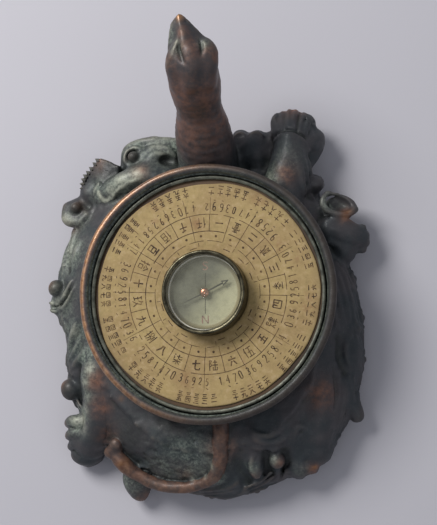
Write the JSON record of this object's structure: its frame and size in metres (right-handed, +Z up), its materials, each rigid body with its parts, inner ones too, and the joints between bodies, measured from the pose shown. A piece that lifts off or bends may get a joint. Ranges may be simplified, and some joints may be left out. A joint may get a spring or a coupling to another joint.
{
  "type": "feng shui compass",
  "caption": "Desk compass: a cast bronze tortoise on a skirt of waves carries a dish with a printed paper dial and a small glass-topped magnetic compass in its middle.",
  "frame": {"origin": "on the table, at the middle of the cork pad's underside and straight below the needle's pivot", "axes": "+Z up, away from the table; +Y along the figure, towards the head; +X to the right as the dial is read from above with the head away from the reader"},
  "size_m": [0.0888, 0.1233, 0.0466],
  "materials": {
    "bronze": "dark brown patina, satin, worn brown on high places, grey-green in hollows",
    "worn_bronze": "brown patina, polished to copper by handling",
    "brass": "dull, machined",
    "wood": "plain turned hardwood",
    "paper": "matt printed paper, tanned and stained with age",
    "pewter": "grey-green, satin",
    "card": "pale grey-green paint, matt",
    "nickel": "old nickel plating, warm, dulled",
    "steel": "browned",
    "copper": "polished copper",
    "glass": "clear",
    "cork": "sheet cork"
  },
  "bodies": {
    "figure": {"body_casting": "bronze", "neck_and_head": "bronze", "front_right_leg": "bronze", "front_left_leg": "bronze", "rear_left_leg": "bronze", "rear_right_leg": "bronze", "curled_tail": "worn_bronze", "dial_dish": "worn_bronze", "dish_washer": "brass", "dish_nut": "brass", "dial_disc": "wood", "dial_paper": "paper", "retaining_ring": "pewter", "compass_case": "brass", "pivot_base": "brass", "compass_card": "card", "card_ring": "nickel", "pivot_pin": "steel", "compass_glass": "glass", "compass_bezel": "nickel", "base_plate": "brass", "base_screw_1": "steel", "base_screw_2": "steel", "base_screw_3": "steel", "cork_pad": "cork"},
    "needle": {"needle": "steel", "needle_cap": "copper"}
  },
  "joints": [
    {"name": "needle_spin", "type": "hinge", "parent": "figure", "child": "needle", "pos_m": [0, 0, 0.02645], "axis": [0, 0, 1], "continuous": true}
  ]
}
